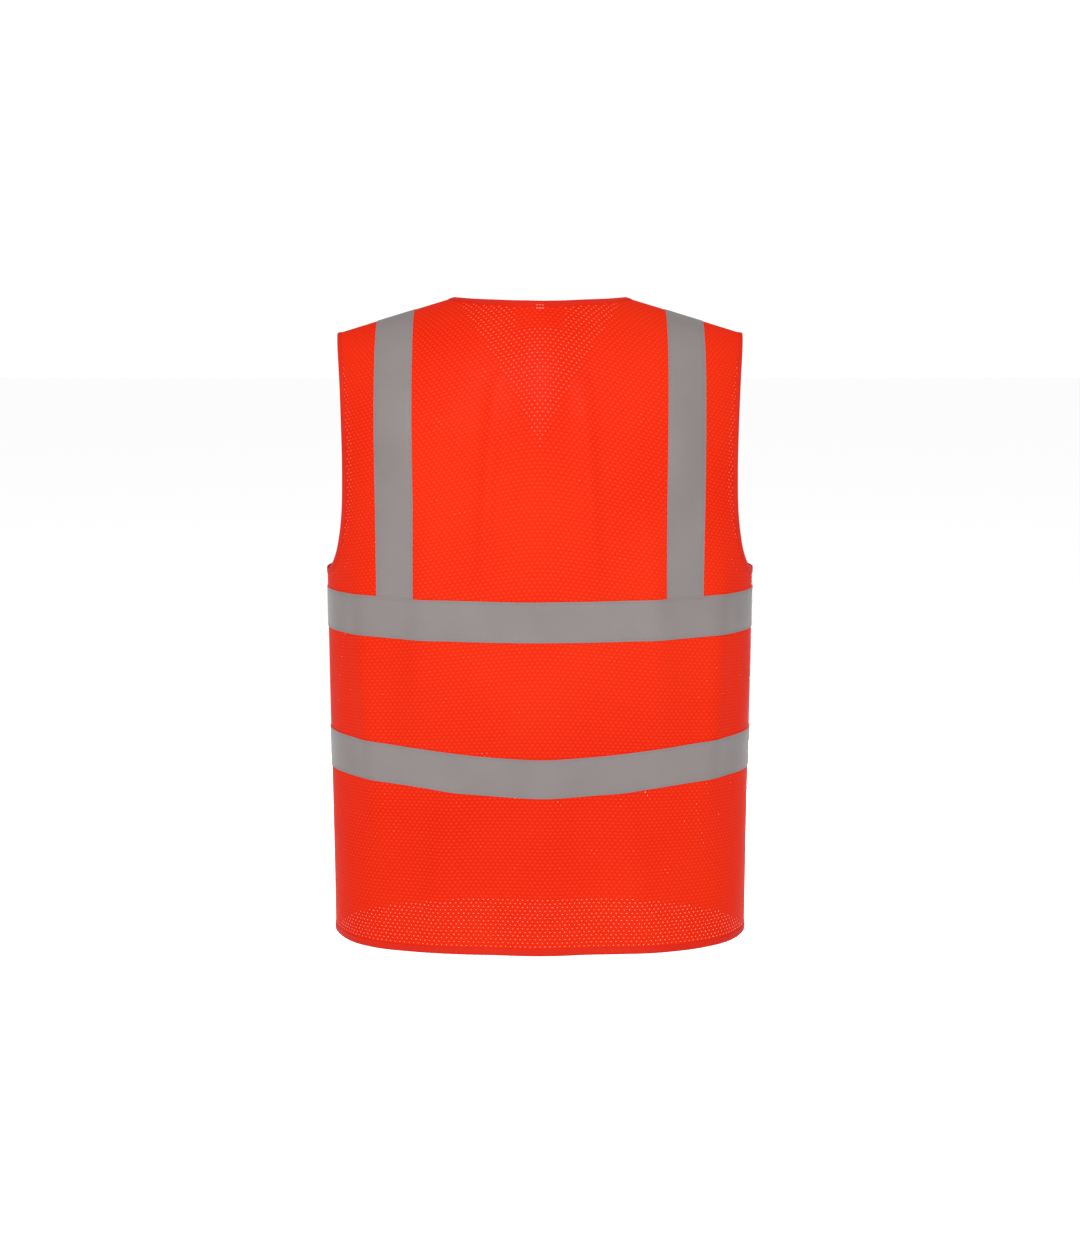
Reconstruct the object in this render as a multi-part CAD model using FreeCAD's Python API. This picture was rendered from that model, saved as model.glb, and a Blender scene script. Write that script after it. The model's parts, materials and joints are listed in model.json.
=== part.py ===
import FreeCAD, Part

# High visibility vest, as worn: open mesh body, two reflective bands and two braces over the
# shoulders, bound edges and a front that closes with touch fastening.
# Millimetres. +Z up, the front faces -Y, the wearer's left is +X. The origin is where the vest
# rests on the shoulders: midway between the two points where the neck meets the shoulder seams.

import os
from math import asin, cos, exp, pi, sin, sqrt

V = FreeCAD.Vector

# ---------------------------------------------------------------- driving dimensions
chest_half_width = 268.0      # side seam to centre, at the underarm
hem_half_width = 264.5        # side seam to centre, at the hem
body_length = 807.0           # neck-shoulder point down to the hem
back_depth = 141.0            # centre of the back behind the shoulder ridge, at its fullest
back_waist_tuck = 26.0        # how far the centre back falls in below the shoulder blades
back_waist_height = -690.0    # where it falls in most
front_depth = 138.0           # chest in front of the shoulder ridge, at its fullest
front_waist_tuck = 16.0
section_fullness = 0.25       # 0 is an ellipse, more makes the back and front flatter
back_shoulder_drop = 200.0    # the back reaches its full depth this far below the ridge
front_shoulder_drop = 215.0

neck_half_width = 106.0
back_neck_drop = 4.0          # centre back neck below the neck-shoulder points
shoulder_tip_x = 251.0
shoulder_slope = 0.31         # fall of the shoulder seam per mm outwards
armhole_narrowest_x = 241.5
armhole_depth = 335.0         # neck-shoulder point down to the underarm
v_neck_depth = 245.0          # neck-shoulder point down to where the front edges meet
front_overlap = 44.0          # left front over right front

fabric_thickness = 1.2
tape_thickness = 0.6
tape_width = 50.0             # bands and braces
binding_width = 8.0
binding_proud = 0.5           # binding stands out of the fabric by this on both sides
layer_gap = 0.1               # between pieces sewn on each other
body_gap = 0.4                # from the back to each front, at the seams
upper_band_share = 0.0508     # top of each band at the side seams, as a share of the way from
lower_band_share = 0.4333     # the underarm down to the hem
upper_band_dip = 3.0          # a band hangs this much lower at centre back and front
lower_band_dip = 18.5
brace_x_shoulder = 180.0      # centre of each brace at the shoulder
brace_x_band = 176.0          # and where it meets the upper band

patch_width = 24.0
patch_length = 70.0
patch_thickness = 1.0
flap_gap = 0.6                # between closed hook and loop patches, as a pressed pile holds them

neck_label_size = (58.0, 34.0)
care_label_size = (40.0, 62.0)
label_thickness = 0.4
neck_label_below_edge = 1.5
care_label_from_seam = 22.0
care_label_below_band = 30.0

# armhole shape between the shoulder tip and the underarm
arm_upper_run = 0.3           # share of the tip's extra width left where the edge turns down
arm_turn_low = 0.25           # that place, as a share of the armhole's depth
arm_turn_tip = 0.55
arm_turn_lift = 12.0
arm_middle_tip = 0.4          # where the armhole is narrowest
arm_middle_low = 0.58
arm_lower_share = 0.82        # where it starts to curve out under the arm
arm_lower_out = 3.0
arm_curve_share = 0.945
arm_curve_out = 12.0

# ---------------------------------------------------------------- sizes that follow
REACH = 120.0                 # how far cutting shapes run past the vest
SIDE_REACH = 30.0             # and past a side seam
hem_run = body_length - armhole_depth
upper_band_top = -armhole_depth - upper_band_share * hem_run
lower_band_top = -armhole_depth - lower_band_share * hem_run
upper_band_foot = upper_band_top - upper_band_dip - tape_width
lower_band_foot = lower_band_top - lower_band_dip - tape_width
patch_centres = (
    (-v_neck_depth + upper_band_top - upper_band_dip) / 2,
    (upper_band_foot + lower_band_top - lower_band_dip) / 2,
    (lower_band_foot - body_length + binding_width) / 2,
)
flap_lift = fabric_thickness + 2 * patch_thickness + 2 * layer_gap + flap_gap
lift_starts_x = neck_half_width
lift_ends_x = front_overlap / 2 + binding_width + 3.0
fabric = (0.0, fabric_thickness)
tape = (fabric_thickness + layer_gap, fabric_thickness + layer_gap + tape_thickness)
binding = (-binding_proud, fabric_thickness + binding_proud)
bands = (("upper", upper_band_top, upper_band_dip), ("lower", lower_band_top, lower_band_dip))


def smooth(t):
    """0 before 0, 1 after 1, and a smooth rise between."""
    t = min(max(t, 0.0), 1.0)
    return t * t * (3 - 2 * t)


# ---------------------------------------------------------------- the worn surface
def ridge_z(x):
    """Height of the shoulder ridge: straight along each shoulder, rounded over the neck."""
    soft = 30.0
    return -shoulder_slope * (sqrt(x * x + soft * soft) - sqrt(neck_half_width**2 + soft * soft))


def half_width(z):
    """Side seam to centre at a height."""
    t = smooth((-armhole_depth - z) / (body_length - armhole_depth))
    return chest_half_width + (hem_half_width - chest_half_width) * t


def depth_at(z, side):
    """Centre back or centre front to the ridge plane, with the hollow under the shoulder blades."""
    full, tuck = (back_depth, back_waist_tuck) if side > 0 else (front_depth, front_waist_tuck)
    spread = 150.0
    return full - tuck * exp(-(((z - back_waist_height) / spread) ** 2))


def flap(x, side, which):
    """The left front lies over the right one near the centre."""
    if side > 0 or which != "left":
        return 0.0
    return flap_lift * smooth((lift_starts_x - x) / (lift_starts_x - lift_ends_x))


def surface_point(phi, v, offset, side, which):
    """A point of the worn surface moved outwards by offset. phi runs 0 to pi from the left side
    to the right side; v runs 0 to 1 over the shoulder and 1 to 2 from there to the hem."""
    drop = back_shoulder_drop if side > 0 else front_shoulder_drop
    c, s = cos(phi), sin(phi)
    rough_x = chest_half_width * c
    out = offset + flap(rough_x, side, which)
    top = ridge_z(rough_x)
    bottom = -body_length - REACH
    if v <= 1:
        turn = v * pi / 2
        z = top + out - (drop + out) * (1 - cos(turn))
        round_off = sin(turn)
    else:
        z = top - drop + (bottom - top + drop) * (v - 1)
        round_off = 1.0
    x = (half_width(z) + out) * c
    y = (depth_at(z, side) + out) * s * (1 + section_fullness * c * c) * round_off
    return V(x, side * y, z)


def skin(offset, side, which):
    """The worn surface of one half as a face."""
    across = [pi * i / 40 for i in range(41)]
    down = [i / 10 for i in range(10)] + [1 + i / 16 for i in range(17)]
    grid = [[surface_point(phi, v, offset, side, which) for v in down] for phi in across]
    surface = Part.BSplineSurface()
    surface.interpolate(grid)
    return surface.toShape()


def core(offset, side, which):
    """Everything inside the worn surface of one half, closed by the ridge plane and below the hem."""
    face = skin(offset, side, which)
    ends = [e for e in face.Edges if max(abs(e.valueAt(p).y) for p in edge_samples(e)) < 1e-6]
    low = [e for e in face.Edges if edge_is_low(e)]
    span = low[0]
    a, b = span.valueAt(span.FirstParameter), span.valueAt(span.LastParameter)
    closing = Part.makeLine(a, b)
    ridge_face = Part.Face(Part.Wire(Part.__sortEdges__(ends + [closing])))
    low_face = Part.Face(Part.Wire(Part.__sortEdges__([span, closing])))
    solid = Part.Solid(Part.Shell([face, ridge_face, low_face]))
    if solid.Volume < 0:
        solid.reverse()
    return solid


def edge_samples(edge):
    first, last = edge.FirstParameter, edge.LastParameter
    return [first + (last - first) * i / 12 for i in range(13)]


def edge_is_low(edge):
    return max(edge.valueAt(p).z for p in edge_samples(edge)) < -body_length - REACH / 2


made_walls = {}


def wall(layer, side, which):
    """The space between two offsets of the worn surface, made once for all pieces of that layer."""
    key = (layer, side, which)
    if key not in made_walls:
        made_walls[key] = core(layer[1], side, which).cut(core(layer[0], side, which))
    return made_walls[key]


# ---------------------------------------------------------------- outlines, seen along Y
def polyline(points):
    return [Part.makeLine(V(*a), V(*b)) for a, b in zip(points, points[1:])]


def curve(points):
    line = Part.BSplineCurve()
    line.interpolate([V(*p) for p in points])
    return line.toShape()


def prism(edges, side):
    """A closed outline in the XZ plane, run out along Y on one side of the seams."""
    face = Part.Face(Part.Wire(edges)).translated(V(0, side * body_gap / 2, 0))
    return face.extrude(V(0, side * (back_depth + REACH), 0))


def armhole_points(inset, sign):
    """From above the shoulder tip down to past the underarm."""
    tip = shoulder_tip_x - inset
    narrow = armhole_narrowest_x - inset
    tip_z = ridge_z(shoulder_tip_x)
    low = -armhole_depth - inset
    rows = [
        (tip, tip_z),
        (narrow + arm_upper_run * (tip - narrow), tip_z * arm_turn_tip + low * arm_turn_low - arm_turn_lift),
        (narrow, tip_z * arm_middle_tip + low * arm_middle_low),
        (narrow + arm_lower_out, low * arm_lower_share),
        (narrow + arm_curve_out, low * arm_curve_share),
        (chest_half_width - 4.0, low + 0.4),
        (chest_half_width + SIDE_REACH, low - 3.0),
    ]
    return [(sign * x, 0, z) for x, z in rows]


def armhole_edges(inset, sign):
    points = armhole_points(inset, sign)
    top = (points[0][0], 0, REACH)
    return [Part.makeLine(V(*top), V(*points[0])), curve(points)]


def hem_level(inset):
    return -body_length + inset


def back_outline(neck_inset=0.0, armhole_inset=0.0, hem_inset=0.0):
    """The back panel's outline, with any edge brought in by its inset."""
    corner = neck_half_width + neck_inset
    shoulder = right_top(armhole_inset)
    neck = Part.Arc(
        V(-corner, 0, -neck_inset),
        V(0, 0, -back_neck_drop - neck_inset),
        V(corner, 0, -neck_inset),
    ).toShape()
    right = armhole_edges(armhole_inset, 1)
    left = armhole_edges(armhole_inset, -1)
    low = hem_level(hem_inset)
    arm_end = armhole_points(armhole_inset, 1)[-1]
    edges = [neck]
    edges += polyline([(corner, 0, -neck_inset), (corner, 0, REACH), (shoulder, 0, REACH)])
    edges += right
    edges += polyline([arm_end, (arm_end[0], 0, low), (-arm_end[0], 0, low), (-arm_end[0], 0, arm_end[2])])
    edges += left
    edges += polyline([(-shoulder, 0, REACH), (-corner, 0, REACH), (-corner, 0, -neck_inset)])
    return Part.__sortEdges__(edges)


def right_top(armhole_inset):
    return shoulder_tip_x - armhole_inset


def front_outline(sign, edge_inset=0.0, armhole_inset=0.0, hem_inset=0.0):
    """A front panel's outline. sign is +1 for the wearer's left. The free edge runs from the
    neck-shoulder point down the V and then straight to the hem, past the centre."""
    corner = neck_half_width + edge_inset
    free_x = -front_overlap / 2 + edge_inset
    v_low = -v_neck_depth - edge_inset * 0.4
    bow = 9.0
    mid = ((corner + free_x) / 2 - bow, v_low * 0.5 - 0.35 * bow)
    v_curve = curve(
        [
            (sign * corner, 0, 0),
            (sign * mid[0], 0, mid[1]),
            (sign * free_x, 0, v_low),
        ]
    )
    low = hem_level(hem_inset)
    arm_end = armhole_points(armhole_inset, sign)[-1]
    top_x = sign * right_top(armhole_inset)
    edges = [v_curve]
    edges += polyline([(sign * free_x, 0, v_low), (sign * free_x, 0, low), (arm_end[0], 0, low), arm_end])
    edges += armhole_edges(armhole_inset, sign)
    edges += polyline([(top_x, 0, REACH), (sign * corner, 0, REACH), (sign * corner, 0, 0)])
    return Part.__sortEdges__(edges)


def band_sag(x, dip):
    """How far a band hangs below its ends."""
    return dip * cos(pi / 2 * min(abs(x) / chest_half_width, 1.0)) ** 2


def band_outline(top_side, dip, x_from, x_to):
    """A band between two x positions that hangs lower by dip at the centre."""
    steps = 14
    xs = [x_from + (x_to - x_from) * i / steps for i in range(steps + 1)]
    upper = [(x, 0, top_side - band_sag(x, dip)) for x in xs]
    lower = [(x, 0, top_side - tape_width - band_sag(x, dip)) for x in reversed(xs)]
    edges = [curve(upper)]
    edges += polyline([upper[-1], lower[0]])
    edges += [curve(lower)]
    edges += polyline([lower[-1], upper[0]])
    return edges


def brace_outline(sign):
    """A brace from over the shoulder ridge down to the upper band."""
    half = tape_width / 2 * brace_squeeze()
    outer = brace_x_band + half
    low = upper_band_top - band_sag(outer, upper_band_dip) + layer_gap
    a, b = sign * brace_x_shoulder, sign * brace_x_band
    corners = [(a - half, REACH), (a + half, REACH), (b + half, low), (b - half, low), (a - half, REACH)]
    return polyline([(x, 0, z) for x, z in corners])


def brace_squeeze():
    """The tape lies on a slope there, so its straight-on width is a little under its real one."""
    phi = asin(sqrt(1 - (brace_x_shoulder / chest_half_width) ** 2))
    c, s = cos(phi), sin(phi)
    rise = c * (1 + section_fullness * c * c) - 2 * section_fullness * s * s * c
    slope = back_depth * rise / (chest_half_width * s)
    return 1 / sqrt(1 + slope * slope)


# ---------------------------------------------------------------- pieces
def kept(solid, name):
    """Exports one closed solid."""
    solids = [s for s in solid.Solids if s.Volume > 1.0]
    shape = solids[0] if len(solids) == 1 else Part.makeCompound(solids)
    if len(solids) != 1:
        print(name, "has", len(solids), "solids")
    shape.exportStep("parts/" + name + ".step")
    print("%-32s %9.1f mm3  valid %s" % (name, shape.Volume, shape.isValid()))
    return shape


def cut_from(layer, side, which, outline):
    return wall(layer, side, which).common(prism(outline, side))


def rim_pieces(side, which, outer, inner):
    """The binding all round a panel, cut level with the top of the hem's binding."""
    rim = cut_from(binding, side, which, outer).cut(prism(inner, side))
    wide = 2 * (chest_half_width + REACH)
    low = hem_level(binding_width)
    zone = Part.makeBox(wide, back_depth + REACH, 2 * REACH, V(-wide / 2, 0, low - 2 * REACH))
    if side < 0:
        zone.translate(V(0, -back_depth - REACH, 0))
    return rim.common(zone).Solids, rim.cut(zone).Solids


def outermost(solids, sign=0):
    """The solid whose middle lies furthest along X, either way or to one side."""
    return max(solids, key=lambda s: abs(s.CenterOfMass.x) if sign == 0 else sign * s.CenterOfMass.x)


def innermost(solids):
    return min(solids, key=lambda s: abs(s.CenterOfMass.x))


def make_back():
    b = binding_width
    kept(cut_from(fabric, 1, "back", back_outline(b, b, b)), "back_panel")
    hem, rest = rim_pieces(1, "back", back_outline(), back_outline(b, b, b))
    kept(innermost(hem), "back_hem_binding")
    kept(innermost(rest), "back_neck_binding")
    kept(outermost(rest, 1), "back_left_armhole_binding")
    kept(outermost(rest, -1), "back_right_armhole_binding")
    reach = chest_half_width + SIDE_REACH
    for level, top, dip in bands:
        kept(cut_from(tape, 1, "back", band_outline(top, dip, -reach, reach)), "back_" + level + "_band")
    for sign, hand in ((1, "left"), (-1, "right")):
        kept(cut_from(tape, 1, "back", brace_outline(sign)), "back_" + hand + "_brace")


def make_front(sign, hand):
    b = binding_width
    name = hand + "_front_"
    kept(cut_from(fabric, -1, hand, front_outline(sign, b, b, b)), name + "panel")
    hem, rest = rim_pieces(-1, hand, front_outline(sign), front_outline(sign, b, b, b))
    kept(innermost(hem), name + "hem_binding")
    kept(outermost(rest), name + "armhole_binding")
    kept(innermost(rest), name + "edge_binding")
    start = sign * (-front_overlap / 2 + b + 0.5)
    end = sign * (chest_half_width + SIDE_REACH)
    x_from, x_to = min(start, end), max(start, end)
    for level, top, dip in bands:
        kept(cut_from(tape, -1, hand, band_outline(top, dip, x_from, x_to)), name + level + "_band")
    kept(cut_from(tape, -1, hand, brace_outline(sign)), name + "brace")


def hanging_rectangle(x, top, wide, high):
    corners = [(x, top), (x + wide, top), (x + wide, top - high), (x, top - high), (x, top)]
    return polyline([(a, 0, b) for a, b in corners])


def make_fastening():
    """Loop patches on the outside of the right front, hook patches inside the left front."""
    loop = (fabric_thickness + layer_gap, fabric_thickness + layer_gap + patch_thickness)
    hook = (-layer_gap - patch_thickness, -layer_gap)
    for centre_z, place in zip(patch_centres, ("top", "middle", "bottom")):
        outline = hanging_rectangle(-patch_width / 2, centre_z + patch_length / 2, patch_width, patch_length)
        kept(cut_from(loop, -1, "right", outline), place + "_loop_patch")
        kept(cut_from(hook, -1, "left", outline), place + "_hook_patch")


def make_labels():
    """A blank size label inside the back neck and a care label inside the left side seam."""
    inside = (-binding_proud - layer_gap - label_thickness, -binding_proud - layer_gap)
    wide, high = neck_label_size
    outline = hanging_rectangle(-wide / 2, -back_neck_drop - neck_label_below_edge, wide, high)
    kept(cut_from(inside, 1, "back", outline), "neck_label")
    wide, high = care_label_size
    left = chest_half_width - care_label_from_seam - wide
    outline = hanging_rectangle(left, lower_band_foot - care_label_below_band, wide, high)
    kept(cut_from(inside, 1, "back", outline), "care_label")


os.makedirs("parts", exist_ok=True)
make_back()
for sign, hand in ((1, "left"), (-1, "right")):
    make_front(sign, hand)
make_fastening()
make_labels()
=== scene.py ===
# %% [markdown]
# # A high visibility vest, worn by nobody
# The vest hangs in the air as it would on a body: a back and two fronts of open mesh, grey
# reflective tape sewn on top, a narrow binding round every raw edge, and a front that closes with
# hook and loop patches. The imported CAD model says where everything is. Its soft solids are only
# stand-ins, so every one of them is replaced here by cloth.

# %% Load the frame
import json
import math

import bmesh
import bpy
import numpy as np
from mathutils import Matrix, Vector


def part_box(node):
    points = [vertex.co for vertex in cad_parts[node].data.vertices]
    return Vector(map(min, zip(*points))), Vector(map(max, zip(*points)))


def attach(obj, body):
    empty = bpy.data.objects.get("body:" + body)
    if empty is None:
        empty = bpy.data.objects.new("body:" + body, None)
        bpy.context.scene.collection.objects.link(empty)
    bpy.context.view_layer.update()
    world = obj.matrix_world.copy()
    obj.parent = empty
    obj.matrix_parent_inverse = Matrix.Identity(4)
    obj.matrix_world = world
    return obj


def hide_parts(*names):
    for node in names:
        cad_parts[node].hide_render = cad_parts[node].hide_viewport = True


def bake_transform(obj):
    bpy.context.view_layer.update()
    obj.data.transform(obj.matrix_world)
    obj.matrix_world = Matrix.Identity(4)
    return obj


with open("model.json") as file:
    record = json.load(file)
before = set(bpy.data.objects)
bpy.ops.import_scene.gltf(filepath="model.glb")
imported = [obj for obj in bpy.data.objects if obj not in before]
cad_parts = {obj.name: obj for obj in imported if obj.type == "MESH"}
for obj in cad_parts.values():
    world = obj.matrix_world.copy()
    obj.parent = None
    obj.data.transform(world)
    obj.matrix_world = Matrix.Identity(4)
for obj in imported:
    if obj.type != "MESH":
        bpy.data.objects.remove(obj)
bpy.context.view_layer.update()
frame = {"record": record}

MM = 0.001
record = frame["record"]

# %% [markdown]
# ## The shape of the worn vest
# A worn vest isn't flat anywhere, yet its cloth was cut flat. So one function bends the flat cloth
# round the body, and everything else, from tape to thread, is drawn flat and sent through it. The
# sizes below are read from the CAD boxes where a box holds them, and repeated from the design
# where it doesn't.

# %% Sizes
band_low, band_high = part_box("back_upper_band")
low_band_low, low_band_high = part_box("back_lower_band")
hem_low, hem_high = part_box("back_hem_binding")
front_edge_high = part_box("left_front_edge_binding")[1]

BACK, FRONT = 1, -1
BINDING_WIDTH = 8 * MM
BAND_STANDS_OUT, BINDING_STANDS_OUT = 1.9 * MM, 1.7 * MM
CHEST = band_high[0] - BAND_STANDS_OUT
HIPS = hem_high[0] - BINDING_STANDS_OUT
HEM = hem_low[2]
UNDERARM = -335 * MM
UPPER_BAND_TOP = band_high[2]
TAPE_WIDTH = 50 * MM
UPPER_BAND_DIP = band_high[2] - band_low[2] - TAPE_WIDTH
LOWER_BAND_TOP = low_band_high[2]
LOWER_BAND_DIP = low_band_high[2] - low_band_low[2] - TAPE_WIDTH
NECK_HALF = front_edge_high[0] - BINDING_WIDTH
NECK_DROP = 4 * MM
TIP_X, NARROW_X = 251 * MM, 241.5 * MM
SLOPE = 0.31
V_DEPTH = 245 * MM
OVERLAP = 44 * MM
FULLNESS = 0.25
DEPTH = {BACK: 141 * MM, FRONT: 138 * MM}
TUCK = {BACK: 26 * MM, FRONT: 16 * MM}
DROP = {BACK: 200 * MM, FRONT: 215 * MM}
WAIST, WAIST_SPREAD = -690 * MM, 150 * MM
FLAP_LIFT = 4.0 * MM
LEVEL = 600 * MM
ROLL_DEEP, ROLL_HIGH = 112 * MM, 200 * MM
RIDGE_SCALE = 2.2 * MM
LOOSE_UP_TO, LOOSE_WAVE, SMALL_WAVE = 470 * MM, 1.5 * MM, 0.25 * MM
HANDS = ((1, "left"), (-1, "right"))
print("chest half width %.4f, tape %.4f, hem %.4f" % (CHEST, TAPE_WIDTH, HEM))


# %% [markdown]
# ## Bending flat cloth round a body
# A point of cloth has two flat coordinates: p across, from the middle, and q up from the hem. The
# section of the body is a flattened ellipse with fuller sides, so p becomes an angle round it by
# arc length. Up to the shoulder blades q is nearly a height; above, the cloth rolls over the
# shoulder along a quarter ellipse, again by arc length. That keeps the mesh of the cloth even.

# %% The bending function
def smooth(t):
    """Smoothstep: 0 before 0, 1 after 1, and 3t^2 - 2t^3 between."""
    t = np.clip(t, 0, 1)
    return t * t * (3 - 2 * t)


def ridge(x):
    """Height of the shoulder ridge: falls at a constant slope, rounded over the neck."""
    soft = 30 * MM
    return -SLOPE * (np.sqrt(x * x + soft**2) - math.sqrt(NECK_HALF**2 + soft**2))


def half_width(z):
    return CHEST + (HIPS - CHEST) * smooth((UNDERARM - z) / (UNDERARM - HEM))


def depth_at(z, side):
    """Full depth less a hollow, a bell curve of height, at the small of the back."""
    return DEPTH[side] - TUCK[side] * np.exp(-(((z - WAIST) / WAIST_SPREAD) ** 2))


def lift_of_flap(x):
    """The left front lies over the right one: it rises from the right front towards the centre."""
    start, end = NECK_HALF, OVERLAP / 2 + BINDING_WIDTH + 3 * MM
    return FLAP_LIFT * smooth((start - x) / (start - end))


angles = np.linspace(0, np.pi, 721)
section_x = CHEST * np.cos(angles)
section_y = DEPTH[BACK] * np.sin(angles) * (1 + FULLNESS * np.cos(angles) ** 2)
section_arc = np.concatenate([[0], np.cumsum(np.hypot(np.diff(section_x), np.diff(section_y)))])
HALF_ROUND = section_arc[-1] / 2

turns = np.linspace(0, np.pi / 2, 181)
roll_y, roll_z = ROLL_DEEP * np.sin(turns), ROLL_HIGH * (1 - np.cos(turns))
roll_arc = np.concatenate([[0], np.cumsum(np.hypot(np.diff(roll_y), np.diff(roll_z)))])
ROLL = roll_arc[-1]
TOP_Q = LEVEL + ROLL
print("cloth: %.3f m across each half, %.3f m up" % (HALF_ROUND * 2, TOP_Q))


def folds(p, q, side):
    """How far the cloth stands out: soft ridges that hang from the shoulders, each a bell curve
    across and a sine along, and long waves that grow towards the hem. RIDGES gives each ridge's
    p and q at its top and at its foot in metres, its width, and its height in steps."""
    up = q / TOP_Q
    out = np.zeros(np.broadcast(p, q).shape)
    for p_top, q_top, p_low, q_low, width, height in RIDGES[side]:
        t = (q_top - q) / (q_top - q_low)
        line = p_top + (p_low - p_top) * t
        along = np.sin(np.pi * np.clip(t, 0, 1)) ** 0.8
        out = out + RIDGE_SCALE * height * along * np.exp(-(((p - line) / width) ** 2))
    loose = np.clip(1 - q / LOOSE_UP_TO, 0, 1) ** 1.4
    sway = np.sin(p / (31 * MM) + 1.1 * side) + 0.6 * np.sin(p / (19.5 * MM) + 2.0 + up * 1.5)
    edge = np.cos(np.clip(np.abs(p) / HALF_ROUND, 0, 1) * np.pi / 2) ** 0.35
    out = out + LOOSE_WAVE * loose * sway * edge
    small = np.sin(p / (11 * MM) + 7 * up) * np.sin(q / (37 * MM) + p / (50 * MM))
    seam = np.clip((TOP_Q - q) / (60 * MM), 0, 1)
    return (out + SMALL_WAVE * small * edge) * seam


RIDGES = {
    BACK: [
        (0.052, 0.700, 0.070, 0.440, 0.011, 2.6),
        (-0.050, 0.700, -0.066, 0.440, 0.012, 2.4),
        (-0.012, 0.770, 0.020, 0.380, 0.034, 3.2),
        (0.135, 0.560, 0.150, 0.260, 0.020, 2.4),
        (-0.128, 0.570, -0.150, 0.250, 0.022, 2.2),
        (0.100, 0.250, 0.135, 0.000, 0.022, 3.0),
        (-0.095, 0.255, -0.130, 0.000, 0.024, 2.8),
        (0.230, 0.520, 0.205, 0.120, 0.020, 2.6),
        (-0.232, 0.520, -0.210, 0.110, 0.020, 2.4),
        (0.002, 0.330, -0.012, 0.020, 0.030, 2.0),
    ],
    FRONT: [
        (0.120, 0.640, 0.105, 0.300, 0.020, 2.6),
        (-0.125, 0.640, -0.108, 0.290, 0.020, 2.4),
        (0.190, 0.560, 0.180, 0.060, 0.024, 2.8),
        (-0.195, 0.555, -0.184, 0.050, 0.024, 2.8),
        (0.085, 0.300, 0.110, 0.000, 0.026, 2.6),
        (-0.085, 0.305, -0.112, 0.000, 0.026, 2.6),
    ],
}


def wrap(p, q, out, side, which=""):
    """Flat cloth (p, q) to a place on the body, moved outwards by out. The section is
    x = W cos a, y = D sin a (1 + f cos^2 a); over the shoulder y also shrinks as the sine of the
    roll's angle, and z falls from the ridge as one minus its cosine."""
    p, q, out = np.broadcast_arrays(*(np.asarray(values, float) for values in (p, q, out)))
    a = np.interp(HALF_ROUND - p, section_arc, angles)
    c, s = np.cos(a), np.sin(a)
    rough_x = CHEST * c
    grow = out + folds(p, q, side)
    if which == "left":
        grow = grow + lift_of_flap(rough_x)
    drop = DROP[side]
    top = ridge(rough_x)
    spare = top - drop - HEM - LEVEL
    z_low = HEM + q + spare * (np.clip(q, 0, LEVEL) / LEVEL) ** 2
    turn = np.interp(ROLL - (q - LEVEL), roll_arc, turns)
    z_high = top + grow - (drop + grow) * (1 - np.cos(turn))
    over = q > LEVEL
    z = np.where(over, z_high, z_low)
    around = np.where(over, np.sin(turn), 1.0)
    y = (depth_at(z, side) + grow) * s * (1 + FULLNESS * c * c) * around
    return np.stack([(half_width(z) + grow) * c, side * y, z], axis=-1)


def flatten(x, z, side):
    """The other way: a point seen straight from the back or front, (x, z), to flat cloth (p, q)."""
    x, z = np.broadcast_arrays(np.asarray(x, float), np.asarray(z, float))
    c = np.clip(x / half_width(z), -1, 1)
    p = HALF_ROUND - np.interp(np.arccos(c), angles, section_arc)
    top = ridge(CHEST * c)
    drop = DROP[side]
    spare = top - drop - HEM - LEVEL
    bend = np.where(np.abs(spare) < 1e-7, 1e-7, spare) / LEVEL**2
    height = np.maximum(z - HEM, -0.05)
    q_low = (-1 + np.sqrt(np.maximum(1 + 4 * bend * height, 1e-9))) / (2 * bend)
    turn = np.arccos(np.clip(1 - (top - z) / drop, 0, 1))
    q_high = LEVEL + ROLL - np.interp(turn, turns, roll_arc)
    return np.stack([p, np.where(top - z < drop, q_high, q_low)], axis=-1)


check = wrap(*flatten(np.array([0.1, 0.2]), np.array([-0.1, -0.6]), BACK).T, 0, BACK)
print("there and back", np.round(check, 4).tolist())


# %% [markdown]
# ## Meshes from arrays
# Each piece is a set of points worked out at once, plus faces that join them. Grids share one
# helper, which also stores the flat cloth coordinates, in metres, as the piece's UV map, so that
# a weave follows the cloth wherever it bends.

# %% Mesh helpers
def put_mesh(name, points, faces, uv=None, material=None, shade=True):
    """A mesh object from points (n, 3) and a list of face arrays, each (m, corners)."""
    mesh = bpy.data.meshes.new(name)
    rows = [row for part in faces for row in np.asarray(part).tolist()]
    mesh.from_pydata(np.asarray(points).tolist(), [], rows)
    if uv is not None:
        corners = np.empty(len(mesh.loops), np.int32)
        mesh.loops.foreach_get("vertex_index", corners)
        layer = mesh.uv_layers.new(name="cloth")
        layer.data.foreach_set("uv", np.asarray(uv, np.float32)[corners].ravel())
    mesh.polygons.foreach_set("use_smooth", [shade] * len(mesh.polygons))
    mesh.update()
    piece = bpy.data.objects.new(name, mesh)
    bpy.context.scene.collection.objects.link(piece)
    if material is not None:
        mesh.materials.append(material)
    return piece


def grid_faces(rows, columns, flip=False, close_rows=False, close_columns=False):
    """Quads over a grid of points numbered row by row."""
    i = np.arange(rows if close_rows else rows - 1)
    j = np.arange(columns if close_columns else columns - 1)
    i, j = (a.ravel() for a in np.meshgrid(i, j, indexing="ij"))
    i2, j2 = (i + 1) % rows, (j + 1) % columns
    quads = np.stack([i * columns + j, i * columns + j2, i2 * columns + j2, i2 * columns + j], axis=1)
    return quads[:, ::-1] if flip else quads


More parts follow.
